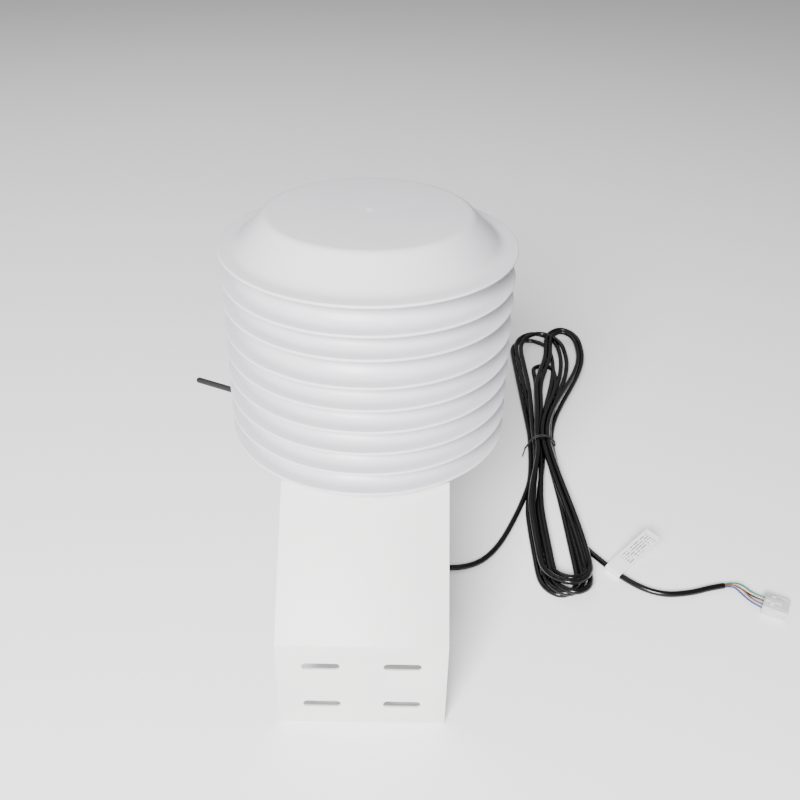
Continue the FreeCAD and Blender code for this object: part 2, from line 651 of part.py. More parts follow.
def makePlug():
    length, width, tall = cell("plug_length"), cell("plug_width"), cell("plug_height")
    size, step = cell("contact_size"), cell("contact_pitch")
    latchWide, gap = cell("latch_width"), cell("latch_side_gap")
    pinX = cell("latch_pin_reach")
    pinZ = tall + cell("latch_lift") + cell("latch_thick") / 2
    ear = cell("ear_thick")
    sideways = plugTurn.multiply(FreeCAD.Rotation(Vector(1, 0, 0), -90))
    block = plugBox(length, width, tall, 0, -width / 2, 0)
    shoulder = plugBox(length / 3, width + 2, tall - 3, length / 6, -width / 2 - 1, 1.5)
    ears = [plugBox(4, ear, pinZ + 1.4 - tall, pinX - 2, y, tall)
            for y in (latchWide / 2 + gap, -latchWide / 2 - gap - ear)]
    pinBore = cylinder(cell("latch_pin_radius") + cell("latch_pin_clearance"), latchWide * 2,
                       *onPlug(pinX, -latchWide, pinZ), sideways)
    rows = [(number - 1.5) * step for number in range(4)]
    cavities = [plugBox(length + 2, size, size, -1, y - size / 2, tall / 2 - size / 2) for y in rows]
    keep("plug_housing", cut(joined(block, shoulder, *ears), pinBore, *cavities))
    keep("plug_contacts", joined(*[plugBox(length - 4, size, size, 1, y - size / 2,
                                           tall / 2 - size / 2) for y in rows]))
    lever = plugBox(cell("latch_length"), latchWide, cell("latch_thick"), 1, -latchWide / 2,
                    tall + cell("latch_lift"))
    hook = plugBox(1.5, latchWide, 1.2, cell("latch_length") - 0.5, -latchWide / 2, tall + 0.4)
    pinLong = latchWide + gap * 2 + ear * 2
    pin = cylinder(cell("latch_pin_radius"), pinLong, *onPlug(pinX, -pinLong / 2, pinZ), sideways)
    keep("plug_latch", joined(lever, hook, pin))
    print("latch pin", [round(part.value, 3) for part in onPlug(pinX, 0, pinZ)])


wireColours = ("green", "black", "brown", "blue")


def makeWires():
    # Four cores fan out from the end of the jacket to the back of the plug
    step, diameter = driving["contact_pitch"], driving["core_diameter"]
    jacketEnd = Vector(*tailRoute[-1])
    heading = (jacketEnd - Vector(*tailRoute[-2])).normalize()
    across = Vector(-heading.y, heading.x, 0)
    middle = driving["plug_height"] / 2
    spread = diameter / 2 + 0.15
    corners = [(1, 1), (1, -1), (-1, 1), (-1, -1)]
    for number, (colour, (side, level)) in enumerate(zip(wireColours, corners)):
        start = jacketEnd + across * (spread * side) + Vector(0, 0, spread * level)
        y = (1.5 - number) * step
        end = spot(*onPlug(1, y, middle))
        before = spot(*onPlug(-9, y * 0.8, middle + 0.6))
        lift = Vector(0, 0, 1.2 * level + 1)
        leave = start + heading * 9
        arch = (leave + before) / 2 + across * (1.5 * side + 2) + lift
        keep(f"wire_{colour}", cordTube(f"wire_{colour}", [start, leave, arch, before, end], diameter))


def makeLabel():
    # Flag label: a sleeve round the cable and a stiff tab that rises from it
    start, end = Vector(*tailRoute[1]), Vector(*tailRoute[2])
    heading = (end - start).normalize()
    middle = (start + end) / 2
    width, thick = cell("label_width"), cell("label_thick")
    half = width / 2
    sleeve = ring(cordRadius + thick, cordRadius, width, middle.x - half * heading.x,
                  middle.y - half * heading.y, middle.z, axisTurn(heading))
    sideways = Vector(0, 0, 1).cross(heading)
    tilt = math.radians(driving["label_tilt"])
    rising = sideways * math.cos(tilt) + Vector(0, 0, math.sin(tilt))
    turn = FreeCAD.Rotation(heading, rising, heading.cross(rising), "XYZ")
    tab = box(width, cell("label_length"), thick, middle.x - half * heading.x,
              middle.y - half * heading.y, middle.z + cordRadius, turn)
    keep("cord_label", joined(sleeve, tab))


def makeCords():
    diameter = driving["cord_diameter"]
    for label, route in (("cord_lead", leadRoute), ("cord_tail", tailRoute)):
        keep(label, cordTube(label, [Vector(*point) for point in route], diameter))


makeCap()
makeLouvers()
makeRods()
makeBracket()
makeCase()
makeCaseFittings()
makeProbe()
makeElectronics()
makeAntenna()
makeGland()
makeCords()
makeHank()
makeLabel()
makePlug()
makeWires()
doc.recompute()

for item in doc.Objects:
    if "Invalid" in item.State or "Error" in item.State:
        raise RuntimeError(f"{item.Name} ({item.Label}) failed: {item.State}")
for label, item in nodes.items():
    if item.Shape.isNull() or not item.Shape.isValid() or not item.Shape.Solids:
        raise RuntimeError(f"{label} has no valid solid")

os.makedirs("parts", exist_ok=True)
for label, item in nodes.items():
    item.Shape.exportStep(f"parts/{label}.step")
    print(label, "solids", len(item.Shape.Solids), "volume", round(item.Shape.Volume, 1))
print(len(nodes), "nodes")
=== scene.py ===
import math
import json

import bpy
from mathutils import Matrix, Vector


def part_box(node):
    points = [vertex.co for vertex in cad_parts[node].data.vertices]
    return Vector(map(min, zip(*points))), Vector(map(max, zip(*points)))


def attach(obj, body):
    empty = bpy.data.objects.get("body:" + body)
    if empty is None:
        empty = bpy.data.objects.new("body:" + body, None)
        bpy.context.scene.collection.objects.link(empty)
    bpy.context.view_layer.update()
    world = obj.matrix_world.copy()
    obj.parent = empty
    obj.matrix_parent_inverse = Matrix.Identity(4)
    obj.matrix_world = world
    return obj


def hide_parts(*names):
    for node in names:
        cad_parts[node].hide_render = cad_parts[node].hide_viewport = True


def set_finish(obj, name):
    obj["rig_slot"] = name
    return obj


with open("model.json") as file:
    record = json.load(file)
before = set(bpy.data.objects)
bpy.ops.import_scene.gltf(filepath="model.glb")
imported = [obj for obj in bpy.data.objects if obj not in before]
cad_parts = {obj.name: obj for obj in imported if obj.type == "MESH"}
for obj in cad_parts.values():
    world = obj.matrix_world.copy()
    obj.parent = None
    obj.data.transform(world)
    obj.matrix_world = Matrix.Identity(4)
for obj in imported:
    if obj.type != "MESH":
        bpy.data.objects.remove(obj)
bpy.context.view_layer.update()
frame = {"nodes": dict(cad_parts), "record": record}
bpy.ops.object.select_all(action='DESELECT')
print("frame loaded")

# The shield stands on the bracket, along this upright line
axisY = (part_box("cap")[0].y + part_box("cap")[1].y) / 2
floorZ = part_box("bracket")[0].z


cameraView = {"place": (0.02125, -0.45645, 0.53448), "heading": 0.363, "pitch": 31.92,
              "roll": 1.129, "lens": 40.706}


def makeCamera(view):
    bpy.ops.object.camera_add(location=view["place"])
    camera = bpy.context.object
    turn = (Matrix.Rotation(-math.radians(view["heading"]), 4, 'Z')
            @ Matrix.Rotation(math.radians(90 - view["pitch"]), 4, 'X')
            @ Matrix.Rotation(math.radians(view["roll"]), 4, 'Z'))
    camera.rotation_euler = turn.to_euler()
    camera.data.lens = view["lens"]
    bpy.context.scene.camera = camera


makeCamera(cameraView)


cable = {"diameter": 0.0055, "coreDiameter": 0.0015, "labelLift": 0.0005}
cableZ = floorZ + cable["diameter"] / 2
labelZ = cableZ + cable["labelLift"]

# From the gland down to the floor and into the hank
leadRoute = [
    (0.014, 0.170, 0.082), (0.014, 0.170, 0.048), (0.019, 0.172, 0.006), (0.036, 0.1715, -0.027),
    (0.066, 0.1685, cableZ), (0.098, 0.173, cableZ), (0.121, 0.198, cableZ),
    (0.142, 0.243, cableZ), (0.157, 0.282, cableZ), (0.166, 0.312, cableZ),
]
# Out of the hank, through the label and on to the plug
tailRoute = [
    (0.201, 0.207, cableZ), (0.2145, 0.1835, labelZ), (0.237, 0.153, labelZ),
    (0.262, 0.1385, cableZ), (0.290, 0.142, cableZ), (0.309, 0.149, cableZ),
    (0.322, 0.152, cableZ),
]

# The tie gathers the strands in three rows. A slot is (place across, row).
waist = {"x": 0.17375, "y": 0.369, "across": 0.0055, "rowRise": 0.0047}
# Each lobe: slot it leaves the tie from, slot it comes back to, the two sides' x, the tip's y,
# and how high the tip lies over the strands that it crosses. Some have their own cap, which is
# their round end's length for its half width, and a band, the x where they first run beside others.
upperLobes = [
    {"out": (0, 0), "back": (2.5, 1), "sides": (0.1735, 0.2240), "tip": 0.617, "lift": 0.0},
    {"out": (1, 0), "back": (3, 0), "sides": (0.1790, 0.2355), "tip": 0.628, "lift": 0.0048},
    {"out": (0.5, 1), "back": (3.5, 1), "sides": (0.1845, 0.2420), "tip": 0.621, "lift": 0.0090},
    {"out": (2, 0), "back": (2, 2), "sides": (0.1955, 0.2215), "tip": 0.549, "lift": 0.0, "cap": 1.0},
    {"out": (1.5, 1), "back": (3, 2), "sides": (0.2250, 0.2595), "tip": 0.622, "lift": 0.0110,
     "band": 0.1950},
    {"out": (1, 2), "back": (4, 0), "sides": (0.2195, 0.2650), "tip": 0.630, "lift": 0.0110,
     "band": 0.1895},
]
lowerLobes = [
    {"out": (2.5, 1), "back": (1, 0), "sides": (0.1905, 0.1548), "tip": 0.137, "lift": 0.0},
    {"out": (3, 0), "back": (0.5, 1), "sides": (0.1950, 0.1602), "tip": 0.134, "lift": 0.0050},
    {"out": (3.5, 1), "back": (2, 0), "sides": (0.2015, 0.1656), "tip": 0.132, "lift": 0.0090},
    {"out": (2, 2), "back": (1.5, 1), "sides": (0.1985, 0.1690), "tip": 0.149, "lift": 0.0095, "cap": 1.15},
    {"out": (3, 2), "back": (1, 2), "sides": (0.2035, 0.1578), "tip": 0.140, "lift": 0.0130},
]
# Where along its way a side swings out from the tie, and how long a lobe's round end is
lobeShape = {"shares": (0.07, 0.22, 0.38, 0.54, 0.70, 0.85, 1.0), "arc": (25, 50, 75, 90, 105, 130, 155),
             "leftSwing": (0.0, 0.62), "rightSwing": (0.0, 0.95), "lateSwing": (0.42, 1.0),
             "upperCap": 1.3, "lowerCap": 1.45}


def slotPlace(slot):
    across, row = slot
    return waist["x"] + across * waist["across"], cableZ + row * waist["rowRise"]


def eased(share):
    return share * share * (3 - 2 * share)


def lobePoints(lobe):
    # Out along one side, round the tip and back along the other
    firstX, lastX = lobe["sides"]
    middle, half = (firstX + lastX) / 2, (lastX - firstX) / 2
    upper = lobe["tip"] > waist["y"]
    cap = abs(half) * lobe.get("cap", lobeShape["upperCap" if upper else "lowerCap"])
    bodyEnd = lobe["tip"] - cap if upper else lobe["tip"] + cap
    sideZ = cableZ + lobe["lift"] * 0.4

    def side(slot, x, share):
        startX, startZ = slotPlace(slot)
        crossing = x > startX + 0.03 and x < middle
        swing = "lateSwing" if crossing else "leftSwing" if x < waist["x"] + 0.018 else "rightSwing"
        begin, end = lobeShape[swing]
        s = eased(min(max((share - begin) / (end - begin), 0), 1))
        bandX = startX
        if crossing:  # it keeps beside the left strands first
            bandX += (lobe["band"] - startX) * eased(min(share / begin, 1))
        return (bandX + (x - bandX) * s, waist["y"] + (bodyEnd - waist["y"]) * share,
                startZ + (sideZ - startZ) * eased(share))

    points = [side(lobe["out"], firstX, share) for share in lobeShape["shares"]]
    for degrees in lobeShape["arc"]:
        angle = math.radians(degrees)
        points.append((middle - half * math.cos(angle),
                       bodyEnd + (lobe["tip"] - bodyEnd) * math.sin(angle),
                       sideZ + lobe["lift"] * 0.6 * math.sin(angle)))
    points += [side(lobe["back"], lastX, share) for share in reversed(lobeShape["shares"])]
    return points


def cablePoints():
    points = list(leadRoute)
    for number, lobe in enumerate(upperLobes):
        points += lobePoints(lobe)
        if number < len(lowerLobes):
            points += lobePoints(lowerLobes[number])
    lastX, lastZ = slotPlace(upperLobes[-1]["back"])
    points += [(lastX, 0.350, lastZ), (lastX + 0.0006, 0.300, lastZ), (0.1985, 0.250, cableZ)]
    return points + tailRoute


pointRadius = 0.001  # a curve's box grows by its points' radius, so it is kept small


def smoothCord(name, points, diameter):
    # One spline that runs smoothly past its points
    line = bpy.data.curves.new(name, 'CURVE')
    line.dimensions = '3D'
    spline = line.splines.new('NURBS')
    spline.points.add(len(points) - 1)
    for place, point in zip(spline.points, points):
        place.co = (*point, 1)
        place.radius = pointRadius
    spline.order_u = 3
    spline.use_endpoint_u = True
    spline.resolution_u = 5
    line.bevel_depth = diameter / 2 / pointRadius
    line.bevel_resolution = 4
    line.use_fill_caps = True
    cord = bpy.data.objects.new(name, line)
    bpy.context.scene.collection.objects.link(cord)
    return cord


signalCable = smoothCord("signalCable", cablePoints(), cable["diameter"])
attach(signalCable, "shield")
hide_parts("cord_lead", "cord_tail", "cord_hank")
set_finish(signalCable, "cable_black")

# The plug lies turned on the floor; wires meet its back
plug = {"back": (0.350, 0.1295), "turn": -28, "length": 0.021, "width": 0.020, "height": 0.009,
        "pitch": 0.005}
wires = {"green": (1, 1), "black": (1, -1), "brown": (-1, 1), "blue": (-1, -1)}


def onPlug(x, y, z):
    turn = math.radians(plug["turn"])
    return Vector((plug["back"][0] + x * math.cos(turn) - y * math.sin(turn),
                   plug["back"][1] + x * math.sin(turn) + y * math.cos(turn), floorZ + z))


def wirePoints(number, side, level):
    jacketEnd = Vector(tailRoute[-1])
    heading = (jacketEnd - Vector(tailRoute[-2])).normalized()
    across = Vector((-heading.y, heading.x, 0))
    up = Vector((0, 0, 1))
    start = jacketEnd + across * (0.0009 * side) + up * (0.0009 * level)
    y = (1.5 - number) * plug["pitch"]
    end = onPlug(0.001, y, plug["height"] / 2)
    before = onPlug(-0.009, y * 0.8, plug["height"] / 2 + 0.0006)
    leave = start + heading * 0.009
    arch = (leave + before) / 2 + across * (0.0015 * side + 0.002) + up * (0.0012 * level + 0.001)
    return [start, leave, arch, before, end]


wireCords = {}
for number, (colour, (side, level)) in enumerate(wires.items()):
    wire = smoothCord(f"wire-{colour}", wirePoints(number, side, level), cable["coreDiameter"])
    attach(wire, "shield")
    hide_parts(f"wire_{colour}")
    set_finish(wire, f"wire_{colour}")
    wireCords[colour] = wire
print("cords laid")


def linearColour(hexColour):
    # sRGB hex to the linear values that a shader takes
    channels = [int(hexColour[i:i + 2], 16) / 255 for i in (1, 3, 5)]
    lit = [c / 12.92 if c <= 0.04045 else ((c + 0.055) / 1.055) ** 2.4 for c in channels]
    return (*lit, 1)


def addNode(material, kind, settings=None, **inputs):
    # A node with its settings; an input is a value, or the output socket that feeds it
    node = material.node_tree.nodes.new(kind)
    for name, value in (settings or {}).items():
        setattr(node, name, value)
    for name, value in inputs.items():
        socket = node.inputs[int(name[2:])] if name.startswith("in") else node.inputs[name.replace("_", " ")]
        if isinstance(value, bpy.types.NodeSocket):
            material.node_tree.links.new(value, socket)
        else:
            socket.default_value = value
    return node


def startMaterial(name, **shaderValues):
    material = bpy.data.materials.new(name)
    material.use_nodes = True
    shader = material.node_tree.nodes["Principled BSDF"]
    for label, value in shaderValues.items():
        shader.inputs[label.replace("_", " ")].default_value = value
    return material, shader


def link(material, output, socket):
    material.node_tree.links.new(output, socket)


def colourBetween(material, factor, first, last):
    # A ramp from one hex colour to another
    ramp = addNode(material, 'ShaderNodeValToRGB', Fac=factor)
    ramp.color_ramp.elements[0].color = linearColour(first)
    ramp.color_ramp.elements[1].color = linearColour(last)
    return ramp.outputs["Color"]


def makeFinish(name, colours, roughness, grain, grainSize, relief, mottle=0.03, spread=0.06, **shaderValues):
    # Colour that drifts over the surface, with a fine relief and uneven gloss. Sizes in metres.
    material, shader = startMaterial(name, **shaderValues)
    place = addNode(material, 'ShaderNodeTexCoord').outputs["Object"]
    drift = addNode(material, 'ShaderNodeTexNoise', Vector=place, Scale=1 / mottle, Detail=3.0,
                    Roughness=0.6).outputs["Fac"]
    link(material, colourBetween(material, drift, *colours), shader.inputs["Base Color"])
    fine = addNode(material, grain, Vector=place, Scale=1 / grainSize)
    gloss = addNode(material, 'ShaderNodeMapRange', Value=drift, To_Min=roughness - spread,
                    To_Max=roughness + spread)
    link(material, gloss.outputs["Result"], shader.inputs["Roughness"])
    output = fine.outputs["Fac"] if "Fac" in fine.outputs else fine.outputs["Distance"]
    bump = addNode(material, 'ShaderNodeBump', Height=output, Strength=0.6, Distance=relief)
    link(material, bump.outputs["Normal"], shader.inputs["Normal"])
    return material


noise, cells = 'ShaderNodeTexNoise', 'ShaderNodeTexVoronoi'
finishes = {
    # Injection-moulded weatherproof plastic with a fine spark-eroded grain: satin, cool white
    "white_plastic": makeFinish("asaPlastic", ("#cfcfd4", "#d5d5d9"), 0.36, noise, 0.0009, 0.00003,
                                IOR=1.49),
    # Polyester powder coat on sheet steel: warm white, soft gloss, orange peel
    "powder_white": makeFinish("powderCoat", ("#d9d7d5", "#dedddb"), 0.42, noise, 0.0022, 0.00008,
                               IOR=1.5),
    # Zinc plate on turned steel: bright grey, cloudy, fairly sharp glints
    "zinc_steel": makeFinish("zincPlatedSteel", ("#a9abb0", "#c9cbd0"), 0.33, noise, 0.0008, 0.00002,
                             mottle=0.004, Metallic=1.0),
    # Gold flash on turned brass: warm yellow, clean glints
    "brass": makeFinish("goldPlatedBrass", ("#c9a248", "#dcb968"), 0.28, noise, 0.0006, 0.00001,
                        mottle=0.003, Metallic=1.0),
    # Moulded polycarbonate for the case: even mid grey with a dull sheen
    "grey_plastic": makeFinish("greyPolycarbonate", ("#8f949a", "#9aa0a6"), 0.45, noise, 0.0008, 0.00003),
    # Moulded nylon: deep grey-black, soft sheen
    "black_nylon": makeFinish("blackNylon", ("#17181a", "#202124"), 0.48, noise, 0.0006, 0.00003),
    # Moulded rubber: matt black, slightly powdery
    "black_rubber": makeFinish("rubberSleeve", ("#121214", "#1b1b1e"), 0.55, noise, 0.0005, 0.00003),
    # Extruded PVC: near black, with thin bright lines of light along each strand
    "cable_black": makeFinish("pvcJacket", ("#030304", "#070709"), 0.24, noise, 0.0014, 0.00004,
                              mottle=0.012, spread=0.06, IOR=1.45),
    # Lacquer on glass-fibre board: glossy dark green, faint cells of the weave
    "circuit_green": makeFinish("solderMask", ("#0f4a2c", "#155a36"), 0.3, cells, 0.0012, 0.00002,
                                mottle=0.004),
    # Moulded epoxy: matt charcoal with a very fine grain
    "chip_black": makeFinish("chipEpoxy", ("#1b1c1e", "#26272a"), 0.6, noise, 0.0003, 0.00001),
    # Moulded polyamide: clear mid green, satin
    "terminal_green": makeFinish("greenPolyamide", ("#2c8a4e", "#36995a"), 0.42, noise, 0.0007, 0.00003),
    # Thin metallised film on the sensor: coppery, half metallic
    "copper_film": makeFinish("sensorFilm", ("#9a6a3c", "#b27d4c"), 0.35, cells, 0.0009, 0.00001,
                              Metallic=0.6),
    # Extruded insulation on the four cores: plain colours, satin
    "wire_green": makeFinish("greenInsulation", ("#16604c", "#1d7059"), 0.38, noise, 0.0006, 0.00002,
                             mottle=0.004),
    "wire_black": makeFinish("blackInsulation", ("#0c0c0e", "#16161a"), 0.36, noise, 0.0006, 0.00002,
                             mottle=0.004),
    "wire_brown": makeFinish("brownInsulation", ("#6e3c14", "#84491b"), 0.38, noise, 0.0006, 0.00002,
                             mottle=0.004),
    "wire_blue": makeFinish("blueInsulation", ("#1b2f86", "#24409c"), 0.38, noise, 0.0006, 0.00002,
                            mottle=0.004),
    # Coated label stock: flat white with a trace of fibre
    "paper_white": makeFinish("labelPaper", ("#dfdfe0", "#e6e6e6"), 0.6, noise, 0.0005, 0.00002,
                              mottle=0.006),
    # Moulded natural nylon: greyish white that light enters a little way
    "plug_white": makeFinish("whiteNylon", ("#c4c4c2", "#cecdcb"), 0.4, noise, 0.0007, 0.00003,
                             mottle=0.006, Subsurface_Weight=0.05),
    # Sintered stainless grains: grey, pitted, scattered small glints
    "sintered_steel": makeFinish("sinteredSteel", ("#7d7f83", "#a9abae"), 0.5, cells, 0.0006, 0.00008,
                                 mottle=0.001, Metallic=1.0),
}


def coat(piece, slot):
    piece.data.materials.clear()
    piece.data.materials.append(finishes[slot])
    return piece


for cord in [signalCable, *wireCords.values()]:
    coat(cord, cord["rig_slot"])


def coatCadNodes():
    for part in frame["record"]["subparts"]:
        node = frame["nodes"][part["node"]]
        node.data.materials.clear()
        node.data.materials.append(finishes[part["material_slot"]])


coatCadNodes()
print("materials made")


def startFresh():
    bpy.ops.object.select_all(action='DESELECT')


def keepPiece(piece, name, slot, replaced=(), body="shield", smooth=35):
    # Name, finish, body and the CAD nodes that the piece stands for; its place goes into its mesh
    startFresh()
    bpy.context.view_layer.objects.active = piece
    piece.select_set(True)
    bpy.ops.object.transform_apply(location=True, rotation=True, scale=True)
    if smooth:
        bpy.ops.object.shade_smooth_by_angle(angle=math.radians(smooth))
    piece.name = name
    piece.data.name = name
    coat(piece, slot)
    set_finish(piece, slot)
    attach(piece, body)
    if replaced:
        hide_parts(*replaced)
    return piece


def useModifier(piece, kind, **settings):
    # Adds a modifier, sets it and applies it
    startFresh()
    bpy.context.view_layer.objects.active = piece
    piece.select_set(True)
    modifier = piece.modifiers.new(kind.title(), kind)
    for name, value in settings.items():
        setattr(modifier, name, value)
    bpy.ops.object.modifier_apply(modifier=modifier.name)
    return piece


def cutWith(piece, cutters):
    for cutter in cutters:
        useModifier(piece, 'BOOLEAN', object=cutter, operation='DIFFERENCE', solver='EXACT')
        bpy.data.objects.remove(cutter)
    return piece


def joinAll(pieces):
    startFresh()
    for piece in pieces:
        piece.select_set(True)
    bpy.context.view_layer.objects.active = pieces[0]
    bpy.ops.object.join()
    return pieces[0]


def softened(stations, steps=4):
    # Rounds each station's corner: a station is (radius, height, rounding)
    rounded = []
    for before, (radius, height, rounding), after in zip(stations, stations[1:], stations[2:]):
        corner = Vector((radius, height))
        inward = Vector(before[:2]) - corner
        outward = Vector(after[:2]) - corner
        if rounding == 0:
            rounded.append((radius, height))
            continue
        reach = min(rounding, inward.length * 0.49, outward.length * 0.49)
        first = corner + inward.normalized() * reach
        last = corner + outward.normalized() * reach
        for step in range(steps + 1):
            t = step / steps
            spot = first * (1 - t) ** 2 + corner * (2 * t * (1 - t)) + last * t * t
            rounded.append((spot.x, spot.y))
    return [stations[0][:2], *rounded, stations[-1][:2]]


def turnRings(stations, sides, place, aim=(0, 0, 0), closed=False):
    # A ring is extruded and scaled from one (radius, height) station to the next
    startFresh()
    radius, height = stations[0]
    bpy.ops.mesh.primitive_circle_add(vertices=sides, radius=radius, location=(0, 0, 0))
    piece = bpy.context.object
    bpy.ops.object.mode_set(mode='EDIT')
    bpy.ops.transform.translate(value=(0, 0, height))
    for nextRadius, nextHeight in stations[1:]:
        bpy.ops.mesh.extrude_region_move(TRANSFORM_OT_translate={"value": (0, 0, nextHeight - height)})
        grow = nextRadius / radius
        bpy.ops.transform.resize(value=(grow, grow, 1), center_override=(0, 0, nextHeight))
        radius, height = nextRadius, nextHeight
    bpy.ops.mesh.select_all(action='SELECT')
    bpy.ops.mesh.remove_doubles(threshold=0.000002)
    if not closed:
        bpy.ops.mesh.select_all(action='DESELECT')
        bpy.ops.mesh.select_mode(type='VERT')
        bpy.ops.mesh.select_non_manifold()
        bpy.ops.mesh.fill_holes(sides=0)
    bpy.ops.mesh.select_all(action='SELECT')
    bpy.ops.mesh.normals_make_consistent(inside=False)
    bpy.ops.object.mode_set(mode='OBJECT')
    piece.location = place
    piece.rotation_euler = aim
    return piece


plateShape = {"edge": 0.0012, "wall": 0.002, "coneWall": 0.0022, "lip": 0.002, "lipDrop": 0.0004,
              "capBrim": 0.0125, "capCone": 0.0215, "brim": 0.011, "cone": 0.020,
              "opening": 0.050, "sides": 256}


def hatStations(rim, foot, disc, rise, inner):
    # Underside from the middle outwards, round the rim, up over the brim and cone, and back in
    shape = plateShape
    edge, wall = shape["edge"], shape["wall"]
    slope = (foot - disc) / (rise - edge)

    def inside(height):
        return foot - (height - edge) * slope - shape["coneWall"]

    brimUnder = shape["lipDrop"] - edge
    return [
        (inner, rise - wall, 0), (inside(rise - wall), rise - wall, 0.003),
        (inside(brimUnder), brimUnder, 0.004), (rim - shape["lip"], brimUnder, 0.0003),
        (rim - shape["lip"], -edge, 0.0005), (rim, -edge, 0.0011), (rim, edge, 0.0011),
        (foot, edge, 0.005), (disc, rise, 0.0035), (inner, rise, 0),
    ]


def makeCap():
    low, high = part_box("cap")
    rim = (high.x - low.x) / 2
    foot = rim - plateShape["capBrim"]
    disc = foot - plateShape["capCone"]
    rise = high.z - low.z - plateShape["edge"]
    stations = softened(hatStations(rim, foot, disc, rise, 0.0032))
    # A moulding gate mark in the middle of the disc
    stations += [(0.0030, rise - 0.0002), (0.0016, rise - 0.0004), (0.0012, rise - 0.0001)]
    place = (0, axisY, high.z - rise)
    hat = turnRings(stations, plateShape["sides"], place)
    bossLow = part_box("cap_inserts")[0].z
    bosses = []
    for degrees in (90, 210, 330):
        angle = math.radians(degrees)
        spot = (0.062 * math.cos(angle), axisY + 0.062 * math.sin(angle), bossLow)
        tall = high.z - plateShape["wall"] * 0.6 - bossLow
        boss = softened([(0.0036, 0.006, 0), (0.0036, 0, 0.0003), (0.0060, 0, 0.0006),
                         (0.0062, tall, 0.0), (0.0050, tall, 0)])
        bosses.append(turnRings(boss, 32, spot))
    keepPiece(joinAll([hat, *bosses]), "capPlate", "white_plastic", ["cap"])


def makeLouvers():
    for number in range(1, 9):
        node = f"louver_plate_{number}"
        low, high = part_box(node)
        rim = (high.x - low.x) / 2
        foot = rim - plateShape["brim"]
        disc = foot - plateShape["cone"]
        rise = high.z - low.z - plateShape["edge"]
        stations = hatStations(rim, foot, disc, rise, plateShape["opening"])
        stations = softened([*stations, stations[0]])
        plate = turnRings(stations, plateShape["sides"], (0, axisY, high.z - rise), closed=True)
        keepPiece(plate, f"louverPlate{number}", "white_plastic", [node])


makeCap()
makeLouvers()
print("plates made")


bracketShape = {"thick": 0.002, "bend": 0.004, "tilt": 45, "slot": (0.028, 0.0065),
                "slotSpacing": (0.060, 0.040), "neckRadius": 0.040, "rodHole": 0.00275,
                "rodCircle": 0.062, "edge": 0.0005}


def prism(sides, radius, depth, place, aim):
    startFresh()
    bpy.ops.mesh.primitive_cylinder_add(vertices=sides, radius=radius, depth=depth, location=place,
                                        rotation=aim)
    return bpy.context.object


def slotCutter(x, z):
    # A slot with round ends: half of a cylinder's points are moved along
    length, width = bracketShape["slot"]
    cutter = prism(48, width / 2, 0.02, (x, 0, z), (math.pi / 2, 0, 0))
    bpy.ops.object.transform_apply(location=True, rotation=True)
    for point in cutter.data.vertices:
        point.co.x += math.copysign((length - width) / 2, point.co.x - x)
    return cutter


def makeBracket():
    shape = bracketShape
    low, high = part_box("bracket")
    wide = high.x - low.x
    bend, tilt = shape["bend"], math.radians(shape["tilt"])
    setback = bend * math.tan(tilt / 2)
    flangeTop, shelfTop = 0.040, high.z
    webRun = (shelfTop - flangeTop) / math.tan(tilt)
    webLong = (shelfTop - flangeTop) / math.sin(tilt) - 2 * setback
    startFresh()
    bpy.ops.mesh.primitive_plane_add(size=1, location=(0, 0, 0), rotation=(math.pi / 2, 0, 0))
    sheet = bpy.context.object
    sheet.scale = (wide, flangeTop - setback - low.z, 1)
    sheet.location = (0, 0, (flangeTop - setback + low.z) / 2)
    bpy.ops.object.transform_apply(location=True, rotation=True, scale=True)
    bpy.ops.object.mode_set(mode='EDIT')
    bpy.ops.mesh.select_all(action='DESELECT')
    bpy.ops.mesh.select_mode(type='EDGE')
    bpy.ops.object.mode_set(mode='OBJECT')
    for edge in sheet.data.edges:
        edge.select = all(sheet.data.vertices[i].co.z > flangeTop - setback - 0.0001 for i in edge.vertices)
    bpy.ops.object.mode_set(mode='EDIT')
    bpy.ops.mesh.spin(steps=10, angle=tilt, center=(0, bend, flangeTop - setback), axis=(1, 0, 0))
    along = Vector((0, math.cos(tilt), math.sin(tilt))) * webLong
    bpy.ops.mesh.extrude_region_move(TRANSFORM_OT_translate={"value": along})
    outward = Vector((0, -math.sin(tilt), math.cos(tilt)))
    webTop = Vector((0, webRun, shelfTop)) - Vector((0, math.cos(tilt), math.sin(tilt))) * setback
    bpy.ops.mesh.spin(steps=10, angle=tilt, center=webTop - outward * bend, axis=(1, 0, 0))
    bpy.ops.mesh.extrude_region_move(
        TRANSFORM_OT_translate={"value": (0, high.y - webRun - setback, 0)})
    bpy.ops.mesh.select_all(action='SELECT')
    bpy.ops.mesh.remove_doubles(threshold=0.00001)
    bpy.ops.mesh.normals_make_consistent(inside=False)
    bpy.ops.object.mode_set(mode='OBJECT')
    facing = sum(f.normal.y * f.area for f in sheet.data.polygons)
    useModifier(sheet, 'SOLIDIFY', thickness=shape["thick"], offset=-1 if facing < 0 else 1)
    spacingX, spacingZ = shape["slotSpacing"]
    cutters = [slotCutter(spacingX / 2 * x, spacingZ / 2 * z) for x in (-1, 1) for z in (-1, 1)]
    cutters.append(prism(128, shape["neckRadius"], 0.02, (0, axisY, shelfTop), (0, 0, 0)))
    for degrees in (90, 210, 330):
        angle = math.radians(degrees)
        spot = (shape["rodCircle"] * math.cos(angle), axisY + shape["rodCircle"] * math.sin(angle), shelfTop)
        cutters.append(prism(32, shape["rodHole"], 0.02, spot, (0, 0, 0)))
    cutWith(sheet, cutters)
    useModifier(sheet, 'BEVEL', width=shape["edge"], segments=3, limit_method='ANGLE',
                angle_limit=math.radians(50))
    keepPiece(sheet, "bracketSheet", "powder_white", ["bracket"], smooth=30)


makeBracket()
print("bracket made")


